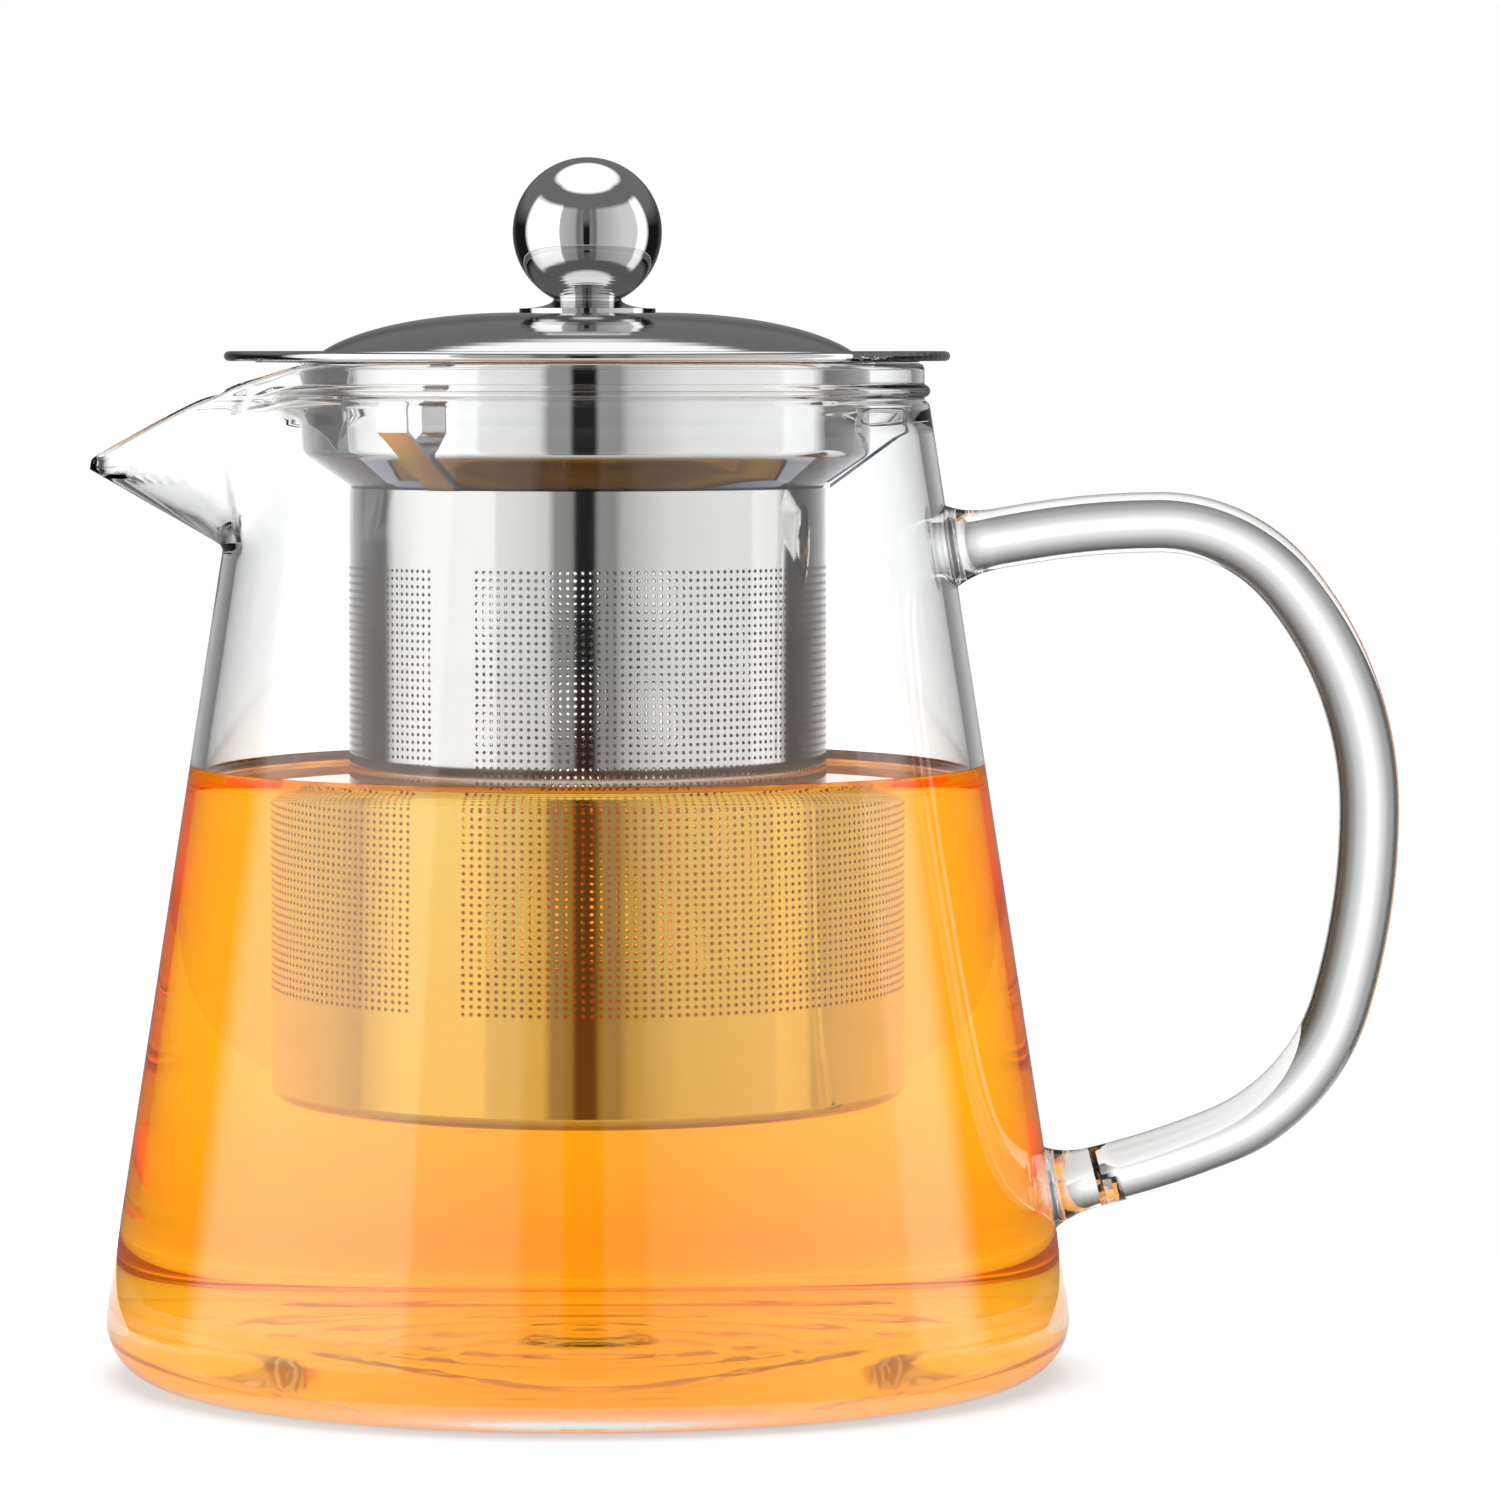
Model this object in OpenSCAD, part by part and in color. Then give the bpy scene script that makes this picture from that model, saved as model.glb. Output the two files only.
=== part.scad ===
// Glass teapot: a tapered borosilicate jug with a pulled lip and a fused rod handle,
// a lift-out steel infuser that hangs from the rim, and a domed steel lid with a ball knob.
// Origin: centre of the flat base, on the table. +X towards the handle, -X towards the spout, +Z up.

/* [Glass jug] */
// Largest outside diameter, just above the foot
body_d = 120.6; // [105:0.1:150]
// Outside diameter at the top of the straight wall
neck_d = 85.2; // [72:0.1:104]
// Height of the glass rim above the table
body_h = 126.2; // [100:0.1:160]
// Thickness of the side wall
wall_t = 1.9; // [1.4:0.1:3]
// Thickness of the glass under the tea
floor_t = 3; // [2:0.5:8]
// Outside corner radius at the foot
foot_round = 7; // [4:0.5:10]
// Inside corner radius at the floor
floor_round = 7; // [4:0.5:12]

/* [Glass neck] */
// Height of the upright neck above the straight wall
neck_h = 4.8; // [3.5:0.1:8]
// Thickness of the upright neck
neck_t = 1.6; // [1.2:0.1:2.6]
// Radius of the fire-polished ring round the neck
ring_r = 0.8; // [0.5:0.1:1]
// How far the neck steps in above the ring
neck_step = 0.6; // [0.3:0.1:1]

/* [Spout] */
// Distance of the lip's tip beyond the straight wall
lip_reach = 18.2; // [12:0.1:24]
// Drop of the tip below the rim
lip_drop = 12; // [8:0.1:15]
// Height of the sloping keel under the lip
keel_h = 9.6; // [7:0.1:16]
// Height of the blunt edge at the tip
tip_edge = 1.2; // [0.8:0.1:2]
// Half of the angle of the neck that the lip takes up
lip_half_angle = 40; // [30:1:50]
// Thickness of the glass in the lip
lip_t = 1.3; // [1:0.1:2]

/* [Handle] */
// Diameter of the glass rod
rod_d = 7.5; // [6:0.1:9]
// Diameter of the fused pads on the wall
pad_d = 10.4; // [9:0.1:13]
// Length of the flare from pad to rod
pad_flare = 6; // [4:0.5:9]
// Distance of the upper pad's centre below the rim
handle_top_drop = 22.8; // [18:0.1:30]
// Height of the lower pad's centre above the table
handle_bottom_h = 23; // [16:0.1:30]

/* [Infuser] */
// Radial gap between the collar and the glass neck
collar_gap = 5.1; // [4:0.1:8]
// Height of the collar below its flange
collar_h = 11.5; // [8:0.1:16]
// Radial step from the collar in to the tube
shoulder_w = 5.5; // [3:0.1:8]
// Height of the sloping shoulder
shoulder_h = 4.1; // [2.5:0.1:6]
// Length of the tube below the shoulder
tube_h = 77.9; // [55:0.1:94]
// Sheet thickness of the collar
collar_t = 0.5; // [0.4:0.05:0.8]
// Sheet thickness of the tube
tube_t = 0.35; // [0.3:0.05:0.6]
// Length of each spigot inside the tube
spigot_h = 3; // [2:0.5:6]
// Corner radius at the bottom edge of the infuser
base_round = 1.5; // [1:0.1:2.5]

/* [Clips] */
// Width of the spring strip
clip_w = 4.3; // [3:0.1:6]
// Thickness of the spring strip
clip_t = 0.4; // [0.3:0.05:0.6]
// Height of the upright pad at the clip's tip
clip_pad_h = 3.4; // [2.5:0.1:5]
// Radial gap between a clip's pad and the glass neck
clip_gap = 0.35; // [0.3:0.05:1]
// Angle of the first clip from +X
clip_phase = -4; // [-20:1:20]

/* [Lid] */
// Distance of the brim's edge beyond the straight wall's top
brim_over = 2.6; // [1:0.1:5]
// Sheet thickness of the lid
lid_t = 0.5; // [0.4:0.05:0.8]
// Radius of the rolled edge
bead_r = 0.62; // [0.5:0.01:0.8]
// Height of the dome above the brim
dome_h = 5.1; // [4:0.1:9]
// Radius of the flat under the knob
dome_flat_r = 9; // [8.6:0.1:12]
// Depth of the locating ring inside the collar
skirt_h = 6; // [4:0.5:8]
// Radial gap between the locating ring and the collar
skirt_gap = 0.25; // [0.15:0.05:0.6]
// Vertical gap between glass, flange and brim where they rest
seat_gap = 0.1; // [0.05:0.05:0.2]
// Diameter of each steam hole
vent_d = 1.3; // [1:0.1:2]

/* [Knob] */
// Diameter of the ball
ball_d = 18.6; // [15:0.1:24]
// Radius of the waist between ball and foot
waist_r = 4.2; // [3.6:0.1:5]
// Radius of the foot
knob_foot_r = 8.5; // [7:0.1:8.5]
// Height of the foot
knob_foot_h = 1.7; // [1.2:0.1:3]
// Radius of the screw's thread
screw_r = 2; // [1.5:0.1:2.5]
// Length of thread inside the ball
screw_grip = 7; // [4:0.5:9]

/* [Hidden] */
$fn = 96;
eps = 0.01;

// Glass wall: a line through the neck point, tangent to the round of the foot.
neck_z = body_h - neck_h;
neck_r = neck_d / 2;
foot_c = body_d / 2 - foot_round;
to_neck = [neck_r - foot_c, neck_z - foot_round];
wall_tilt = atan2(to_neck[1], to_neck[0]) - acos(foot_round / norm(to_neck));
function wall_r(z) = foot_c + (foot_round - (z - foot_round) * sin(wall_tilt)) / cos(wall_tilt);
function bore_r(z) = wall_r(z) - wall_t / cos(wall_tilt);

// Upright neck: its bore is what the clips pass and what the collar is centred in.
rim_r = neck_r - neck_step;
rim_bore_r = rim_r - neck_t;
ring_z = neck_z + ring_r + 0.55;
floor_c_z = floor_t + floor_round;
floor_c = bore_r(floor_c_z) - floor_round / cos(wall_tilt);

// Lip: at each angle from -X the wall moves out by a share of the reach.
keel_z = body_h - lip_drop - tip_edge - keel_h;
lip_start_r = 30;
lip_steps = 16;
lip_levels = 9;
lip_cut_far = neck_r + 2 * lip_reach;
lip_top_in = 0.3;
function clamp01(x) = min(1, max(0, x));
function lip_climb(z) = clamp01((z - keel_z) / keel_h);
function lip_share(a) =
    pow(clamp01(1 - (sqrt(a * a + 4) - 2) / lip_half_angle), 2.5);
function side_r(z) = z < neck_z ? wall_r(z) : rim_r;
function lip_r(a, z) = side_r(z)
    + lip_share(a) * lip_reach * lip_climb(z);
function rim_z(a) = body_h - lip_drop * lip_share(a);
// How much longer a radial cut through the lip is than a square one.
function slant(a, z) = let (b = max(abs(a), 3), step = 0.5)
    norm([1, (lip_r(b + step, z) - lip_r(b - step, z)) / (2 * step * PI / 180 * lip_r(b, z)),
        lip_r(b, z + step) - lip_r(b, z - step)]);
function lip_bore_r(a, z) = let (edge_t = side_r(z) - min(bore_r(z), rim_bore_r) + 0.8,
        in_lip = clamp01(4 * lip_share(a) * lip_climb(z)))
    lip_r(a, z) - edge_t - (lip_t * slant(a, z) - edge_t) * in_lip;
function lip_angle(i, half) = half * sign(i) * pow(abs(i) / lip_steps, 1.4);

// Handle: arcs of [radius, turn in degrees] at unit size, followed from the upper pad.
handle_arcs = [[97, 9.5], [20.5, 50], [44, 40], [85, 16.4], [26, 51.6], [108, 8.5]];
handle_rise = 9.5;
handle_stub = 10;
function walk(i) = i == 0 ? [0, 0, handle_rise]
    : follow(walk(i - 1), handle_arcs[i - 1][0], handle_arcs[i - 1][1]);
function follow(p, r, turn) = let (h = p[2], e = h - turn)
    [p[0] + r * (sin(h) - sin(e)), p[1] + r * (cos(e) - cos(h)), e];
arc_end = walk(len(handle_arcs));
// Scale of the arcs that brings the rod to the wall at the lower pad's height.
end_slope = tan(arc_end[2] + 180);
handle_top_z = body_h - handle_top_drop;
arc_start = [wall_r(handle_top_z) + handle_stub * cos(handle_rise),
    handle_top_z + handle_stub * sin(handle_rise)];
low_x = wall_r(handle_bottom_h);
handle_k = (arc_start[1] - handle_bottom_h - (arc_start[0] - low_x) * end_slope)
    / (arc_end[0] * end_slope - arc_end[1]);
low_run = (arc_start[0] + handle_k * arc_end[0] - low_x) / cos(arc_end[2] + 180);
// Stations along the rod: [x, z, heading, radius].
rod_sides = 14;
pad_steps = 5;
arc_step = 7;
pad_dive = 3;
function flare_r(u) = rod_d / 2 + (pad_d - rod_d) / 2 * pow(1 - clamp01(u), 2.5);
function station(p, run, radius) = [p[0] + run * cos(p[2]), p[1] + run * sin(p[2]), p[2], radius];
function on_arcs(p) = [arc_start[0] + handle_k * p[0], arc_start[1] + handle_k * p[1], p[2]];
rod_start = on_arcs(walk(0));
rod_end = on_arcs(arc_end);
rod_stations = concat([station(rod_start, -handle_stub - pad_dive, pad_d / 2)],
    [for (i = [0:pad_steps])
        station(rod_start, pad_flare * i / pad_steps - handle_stub, flare_r(i / pad_steps))],
    [for (i = [0:len(handle_arcs) - 1]) let (n = ceil(handle_arcs[i][1] / arc_step))
        for (j = [0:n - 1])
            station(on_arcs(follow(walk(i), handle_arcs[i][0], handle_arcs[i][1] * j / n)), 0, rod_d / 2)],
    [station(rod_end, 0, rod_d / 2)],
    [for (i = [pad_steps:-1:0])
        station(rod_end, low_run - pad_flare * i / pad_steps, flare_r(i / pad_steps))],
    [station(rod_end, low_run + pad_dive, pad_d / 2)]);

// Infuser, from the rim down.
flange_z = body_h + seat_gap;
flange_r = neck_r - 1.2;
collar_r = rim_bore_r - collar_gap;
collar_low_z = flange_z - collar_h;
tube_r = collar_r - shoulder_w;
tube_top_z = collar_low_z - shoulder_h;
tube_low_z = tube_top_z - tube_h;
seam_z = tube_low_z + base_round;

// Clip: its strip lies on the shoulder, then carries on to an upright pad by the glass.
shoulder_slope = shoulder_h / shoulder_w;
shoulder_angle = atan(shoulder_slope);
clip_out_r = rim_bore_r - clip_gap;
clip_foot_in = 0.6;
clip_round = 1;
function shoulder_z(r) = tube_top_z + (r - tube_r) * shoulder_slope;
clip_angles = [clip_phase, clip_phase + 120, clip_phase + 240];

// Lid, from the flange up.
brim_z = flange_z + collar_t + seat_gap;
brim_top_z = brim_z + lid_t;
brim_r = neck_r + brim_over;
dome_r = collar_r - 1.9;
dome_span = dome_r + 2.1 - dome_flat_r;
dome_steps = 18;
function dome_shape(r) = sqrt(1 - pow(max(0, r - dome_flat_r) / dome_span, 2));
function dome_z(r) = brim_top_z
    + dome_h * (dome_shape(r) - dome_shape(dome_r)) / (1 - dome_shape(dome_r));
dome_top_z = dome_z(0);
skirt_r = collar_r - collar_t - skirt_gap;
skirt_low_z = brim_z - skirt_h;
vent_r = 15;
vent_angles = [38, 47, 56, 65];

// Knob, from the dome up.
ball_r = ball_d / 2;
waist_z = dome_top_z + knob_foot_h;
ball_z = waist_z + sqrt(ball_r * ball_r - waist_r * waist_r);
washer_r = 4.5;
washer_t = 0.8;
head_r = 3.4;
head_h = 1.6;
screw_slack = 0.1;

// The straight wall and the round of the foot, as one outline.
module wall_outline(bottom_r, round_r, low_z, top_r, top_z) {
    polygon([[0, low_z], [bottom_r, low_z], [bottom_r, low_z + round_r],
        [bottom_r + round_r * cos(wall_tilt), low_z + round_r * (1 + sin(wall_tilt))],
        [top_r, top_z], [0, top_z]]);
    translate([bottom_r, low_z + round_r]) circle(round_r);
}

module body_outside() {
    rotate_extrude() intersection() {
        union() {
            wall_outline(foot_c, foot_round, 0, neck_r, neck_z);
            translate([0, neck_z - eps]) square([rim_r, neck_h - neck_t / 2 + eps]);
            translate([rim_r - neck_t / 2, body_h - neck_t / 2]) circle(neck_t / 2);
            translate([0, body_h - neck_t]) square([rim_r - neck_t / 2, neck_t]);
            translate([neck_r - ring_r, ring_z]) circle(ring_r);
        }
        square([body_d, body_h]);
    }
}

module body_bore() {
    rotate_extrude() intersection() {
        union() {
            wall_outline(floor_c, floor_round, floor_t, bore_r(neck_z - 3), neck_z - 3);
            polygon([[0, neck_z - 3 - eps], [bore_r(neck_z - 3), neck_z - 3 - eps],
                [bore_r(neck_z - 3), neck_z - 3], [rim_bore_r, neck_z], [rim_bore_r, body_h + 1],
                [0, body_h + 1]]);
        }
        square([body_d, body_h + 1]);
    }
}

// Wedge swept to both sides of -X: at each angle a closed outline of [radius, height] points.
module lip_sweep(outlines, half) {
    count = len(outlines[0]);
    last = len(outlines) - 1;
    function corner(i, j) = let (a = lip_angle(i - lip_steps, half), p = outlines[i][j])
        [-p[0] * cos(a), -p[0] * sin(a), p[1]];
    polyhedron(
        points = [for (i = [0:last], j = [0:count - 1]) corner(i, j)],
        faces = concat([[for (j = [count - 1:-1:0]) j]],
            [[for (j = [0:count - 1]) last * count + j]],
            [for (i = [0:last - 1], j = [0:count - 1]) let (k = (j + 1) % count)
                [i * count + j, (i + 1) * count + k, (i + 1) * count + j]],
            [for (i = [0:last - 1], j = [0:count - 1]) let (k = (j + 1) % count)
                [i * count + j, i * count + k, (i + 1) * count + k]]),
        convexity = 4);
}

module lip_outside() {
    sink = 0.8;
    low = keel_z - 1;
    half = lip_half_angle;
    lip_sweep([for (i = [-lip_steps:lip_steps]) let (a = lip_angle(i, half), top = rim_z(a) - lip_top_in)
        concat([[lip_start_r, low]],
            [for (j = [0:lip_levels]) let (z = low + (top - low) * j / lip_levels)
                [lip_r(a, z) - sink * (1 - clamp01(3 * lip_share(a) * lip_climb(z))), z]],
            [[lip_start_r, top]])], half);
}

// Space inside the lip.
module lip_space() {
    low = keel_z - 1;
    high = body_h + 4;
    half = lip_half_angle + 2;
    lip_sweep([for (i = [-lip_steps:lip_steps]) let (a = lip_angle(i, half), top = rim_z(a))
        concat([[lip_start_r - 1, low]],
            [for (j = [0:lip_levels]) let (z = low + (top - low) * j / lip_levels)
                [lip_bore_r(a, z), z]],
            [[lip_bore_r(a, top), high], [lip_start_r - 1, high]])], half);
}

// All that stands above the lip's falling rim.
module lip_top_cut() {
    high = body_h + 5;
    half = lip_half_angle + 3;
    lip_sweep([for (i = [-lip_steps:lip_steps])
        let (a = lip_angle(i, half), top = rim_z(a) + lip_top_in * (1 - 3 * clamp01(6 * lip_share(a))))
        [[lip_start_r - 2, top], [lip_cut_far, top], [lip_cut_far, high], [lip_start_r - 2, high]]], half);
}

module glass_body() {
    color([0.86, 0.93, 0.93, 0.35]) difference() {
        union() {
            body_outside();
            lip_outside();
        }
        body_bore();
        lip_space();
        lip_top_cut();
    }
}

// Round rod swept along its stations.
module rod() {
    last = len(rod_stations) - 1;
    n = rod_sides;
    polyhedron(
        points = [for (p = rod_stations, j = [0:n - 1]) let (a = 360 * j / n)
            [p[0] - p[3] * cos(a) * sin(p[2]), p[3] * sin(a), p[1] + p[3] * cos(a) * cos(p[2])]],
        faces = concat([[for (j = [0:n - 1]) j]], [[for (j = [n - 1:-1:0]) last * n + j]],
            [for (i = [0:last - 1], j = [0:n - 1]) let (k = (j + 1) % n)
                [i * n + j, (i + 1) * n + j, (i + 1) * n + k]],
            [for (i = [0:last - 1], j = [0:n - 1]) let (k = (j + 1) % n)
                [i * n + j, (i + 1) * n + k, i * n + k]]),
        convexity = 4);
}

module glass_handle() {
    color([0.86, 0.93, 0.93, 0.35]) difference() {
        rod();
        body_outside();
    }
}

module infuser_collar() {
    inner = collar_r - collar_t;
    spigot_r = tube_r - tube_t;
    drop = collar_t / cos(shoulder_angle);
    color([0.78, 0.79, 0.80]) rotate_extrude() polygon([
        [flange_r, flange_z], [flange_r, flange_z + collar_t], [inner, flange_z + collar_t],
        [inner, collar_low_z + drop - collar_t * shoulder_slope],
        [spigot_r - collar_t, tube_top_z + drop - (collar_t + tube_t) * shoulder_slope],
        [spigot_r - collar_t, tube_top_z - spigot_h], [spigot_r, tube_top_z - spigot_h],
        [spigot_r, tube_top_z], [tube_r, tube_top_z], [collar_r, collar_low_z], [collar_r, flange_z]]);
}

module infuser_tube() {
    color([0.72, 0.73, 0.74]) translate([0, 0, seam_z]) rotate_extrude()
        translate([tube_r - tube_t, 0]) square([tube_t, tube_top_z - seam_z]);
}

module infuser_base() {
    spigot_r = tube_r - tube_t;
    color([0.72, 0.73, 0.74]) rotate_extrude() difference() {
        union() {
            translate([0, tube_low_z]) square([tube_r - base_round, base_round]);
            intersection() {
                translate([tube_r - base_round, seam_z]) circle(base_round);
                translate([0, tube_low_z]) square([tube_r, base_round]);
            }
            translate([0, seam_z]) square([spigot_r, spigot_h]);
        }
        translate([0, tube_low_z + tube_t]) square([spigot_r - tube_t, base_round + spigot_h]);
    }
}

module clip(angle) {
    foot_r = tube_r + clip_foot_in;
    bend_r = clip_out_r - clip_t;
    rise = clip_t / cos(shoulder_angle);
    pad_low_z = shoulder_z(clip_out_r) - rise;
    pad_top_z = shoulder_z(bend_r) + clip_pad_h;
    color([0.80, 0.81, 0.82]) rotate([0, 0, angle]) intersection() {
        rotate_extrude() polygon([[foot_r, shoulder_z(foot_r) - rise], [foot_r, shoulder_z(foot_r)],
            [bend_r, shoulder_z(bend_r)], [bend_r, pad_top_z], [clip_out_r, pad_top_z],
            [clip_out_r, pad_low_z]]);
        rotate([90, 0, 90]) linear_extrude(height = clip_out_r + 1) union() {
            translate([-clip_w / 2, tube_low_z]) square([clip_w, pad_top_z - clip_round - tube_low_z]);
            for (side = [-1, 1])
                translate([side * (clip_w / 2 - clip_round), pad_top_z - clip_round]) circle(clip_round);
            translate([clip_round - clip_w / 2, pad_top_z - 2 * clip_round])
                square([clip_w - 2 * clip_round, 2 * clip_round]);
        }
    }
}

module lid_shell() {
    hole_r = screw_r + screw_slack;
    brim_end = brim_r - bead_r;
    dome_rs = [for (i = [0:dome_steps]) dome_flat_r + (dome_r - dome_flat_r) * sin(90 * i / dome_steps)];
    color([0.76, 0.77, 0.78]) difference() {
        union() {
            rotate_extrude() polygon(concat([[hole_r, dome_top_z]], [for (r = dome_rs) [r, dome_z(r)]],
                [[brim_end, brim_top_z], [brim_end, brim_z], [dome_r, brim_z]],
                [for (i = [dome_steps - 1:-1:0]) let (r = dome_rs[i])
                    [r - lid_t * 0.4, max(brim_z, dome_z(r) - lid_t)]],
                [[hole_r, dome_top_z - lid_t]]));
            rotate_extrude() translate([brim_end, brim_top_z - bead_r / 2]) circle(bead_r);
        }
        for (a = vent_angles) rotate([0, 0, a])
            translate([vent_r, 0, brim_z]) cylinder(h = 2 * dome_h, d = vent_d);
    }
}

module lid_skirt() {
    color([0.76, 0.77, 0.78]) translate([0, 0, skirt_low_z]) rotate_extrude() union() {
        translate([skirt_r - lid_t, 0]) square([lid_t, skirt_h]);
        translate([dome_r - lid_t, skirt_h - lid_t]) square([skirt_r - dome_r + lid_t, lid_t]);
    }
}

module knob_foot() {
    edge_h = 0.5;
    flare_w = knob_foot_r - waist_r;
    flare_h = knob_foot_h - edge_h;
    steps = 8;
    color([0.80, 0.81, 0.82]) rotate_extrude() polygon(concat(
        [[screw_r + screw_slack, dome_top_z], [knob_foot_r, dome_top_z]],
        [for (i = [0:steps]) [knob_foot_r - flare_w * sin(90 * i / steps),
            waist_z - flare_h * cos(90 * i / steps)]],
        [[screw_r + screw_slack, waist_z]]));
}

module knob_ball() {
    color([0.82, 0.83, 0.84]) difference() {
        intersection() {
            translate([0, 0, ball_z]) sphere(ball_r);
            translate([0, 0, waist_z]) cylinder(h = 2 * ball_r, r = ball_r + 1);
        }
        translate([0, 0, waist_z - 1]) cylinder(h = screw_grip + 2, r = screw_r);
    }
}

module knob_washer() {
    color([0.7, 0.71, 0.72]) translate([0, 0, dome_top_z - lid_t - washer_t]) difference() {
        cylinder(h = washer_t, r = washer_r);
        translate([0, 0, -1]) cylinder(h = washer_t + 2, r = screw_r + screw_slack);
    }
}

module knob_screw() {
    head_z = dome_top_z - lid_t - washer_t - head_h;
    slot_w = 0.9;
    color([0.7, 0.71, 0.72]) difference() {
        union() {
            translate([0, 0, head_z]) cylinder(h = head_h, r = head_r);
            translate([0, 0, head_z]) cylinder(h = waist_z + screw_grip - head_z, r = screw_r);
        }
        for (turn = [0, 90]) rotate([0, 0, turn])
            translate([-head_r * 0.6, -slot_w / 2, head_z - 1])
                cube([head_r * 1.2, slot_w, head_h * 0.6 + 1]);
    }
}

glass_body();
glass_handle();
infuser_collar();
infuser_tube();
infuser_base();
clip(clip_angles[0]);  // clip_right
clip(clip_angles[1]);  // clip_back_left
clip(clip_angles[2]);  // clip_front_left
lid_shell();
lid_skirt();
knob_foot();
knob_ball();
knob_screw();
knob_washer();
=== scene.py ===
import math

import bmesh
import bpy
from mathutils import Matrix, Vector


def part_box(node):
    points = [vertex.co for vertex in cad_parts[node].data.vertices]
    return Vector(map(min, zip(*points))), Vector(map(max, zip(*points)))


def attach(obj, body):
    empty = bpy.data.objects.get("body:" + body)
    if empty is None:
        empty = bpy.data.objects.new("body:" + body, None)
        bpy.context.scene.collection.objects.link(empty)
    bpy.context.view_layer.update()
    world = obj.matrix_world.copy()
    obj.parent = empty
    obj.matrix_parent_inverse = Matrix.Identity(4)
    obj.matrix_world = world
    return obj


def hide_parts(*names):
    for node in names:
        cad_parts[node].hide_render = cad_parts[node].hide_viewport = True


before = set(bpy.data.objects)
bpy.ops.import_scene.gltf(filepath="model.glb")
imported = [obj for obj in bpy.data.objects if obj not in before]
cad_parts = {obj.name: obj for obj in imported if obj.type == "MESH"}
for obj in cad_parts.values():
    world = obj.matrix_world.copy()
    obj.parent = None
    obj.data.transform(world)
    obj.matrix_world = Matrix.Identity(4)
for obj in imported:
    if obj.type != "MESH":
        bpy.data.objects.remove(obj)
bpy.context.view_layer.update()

# ---- Glass jug -----------------------------------------------------------------------------
# One blown piece of clear borosilicate glass: a flat base, a straight tapered wall, an
# upright neck with a ring round it, and a beak pulled out of the neck while it was soft. The
# edge is fire-polished, so the rim is round everywhere.
MM = 0.001
jug_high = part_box("glass_body")[1] / MM
body_h = jug_high.z
body_r = 60.3
neck_r = 42.6
neck_h = 4.8
neck_step = 0.6
neck_t = 1.6
ring_r = 0.8
wall_t = 1.9
floor_t = 3.0
foot_round = 7.0
floor_round = 7.0
dish_r = 46.0
edge_h = 0.75

neck_z = body_h - neck_h
rim_r = neck_r - neck_step
rim_bore_r = rim_r - neck_t
ring_z = neck_z + ring_r + 0.55
foot_c = body_r - foot_round
to_neck = Vector((neck_r - foot_c, neck_z - foot_round))
wall_tilt = math.atan2(to_neck.y, to_neck.x) - math.acos(foot_round / to_neck.length)


def clamp01(x):
    return min(1.0, max(0.0, x))


def smooth(x):
    x = clamp01(x)
    return x * x * (3 - 2 * x)


def wall_radius(z):
    """Outside of the straight wall at a height, in mm."""
    return foot_c + (foot_round - (z - foot_round) * math.sin(wall_tilt)) / math.cos(wall_tilt)


def bore_radius(z):
    """Inside of the wall, which steps in at the neck."""
    straight = wall_radius(z) - wall_t / math.cos(wall_tilt)
    return straight + (rim_bore_r - straight) * smooth((z - neck_z + 3.4) / 3.6)


def side_radius(z):
    """Outside of wall and upright neck at a height, without the ring."""
    return wall_radius(z) + (rim_r - wall_radius(z)) * smooth((z - neck_z + 0.4) / 0.8)


def neck_outside(z):
    """Outside of wall, ring and upright neck at a height."""
    base = side_radius(z)
    inside_ring = ring_r ** 2 - (z - ring_z) ** 2
    if inside_ring <= 0:
        return base
    return max(base, neck_r - ring_r + 0.12 + math.sqrt(inside_ring))


# The beak: how far it reaches out, how far its rim falls, and where it leaves the wall.
lip_reach = 18.2
lip_drop = 12.0
keel_h = 9.6
tip_edge = 1.2
lip_half = 40.0
lip_t = 1.3
keel_z = body_h - lip_drop - tip_edge - keel_h
lip_low = keel_z - 1.5


def lip_share(a):
    """How much of the lip's reach the wall takes at an angle of a degrees from -X."""
    return clamp01(1 - (math.hypot(a, 2) - 2) / lip_half) ** 2.5


def lip_climb(z):
    """How much of its reach the lip has at a height, from its keel up."""
    return clamp01((z - keel_z) / keel_h)


def lip_radius(a, z):
    """Outside of the lip at an angle and a height."""
    return side_radius(z) + lip_share(a) * lip_reach * lip_climb(z)


def slant(a, z):
    """How much longer a radial cut through the glass is than a square one."""
    b = max(abs(a), 3.0)
    around = (lip_radius(b + 0.5, z) - lip_radius(b - 0.5, z)) / math.radians(1) / lip_radius(b, z)
    upward = lip_radius(b, z + 0.5) - lip_radius(b, z - 0.5)
    return math.sqrt(1 + around ** 2 + upward ** 2)


def neck_point(a, level, inside):
    """Radius and height on the neck or lip, at a level that follows the falling rim."""
    rim_z = body_h - lip_drop * lip_share(a)
    z = lip_low + (level - lip_low) * (rim_z - lip_low) / (body_h - lip_low)
    share = clamp01(5 * lip_share(a))
    outer = neck_outside(level) + (lip_radius(a, z) - neck_outside(level)) * share
    if not inside:
        return outer, z
    in_lip = clamp01(4 * lip_share(a) * lip_climb(z))
    plain = bore_radius(level) + (lip_radius(a, z) - wall_t - bore_radius(level)) * share
    return plain + (outer - lip_t * slant(a, z) - plain) * in_lip, z


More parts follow.
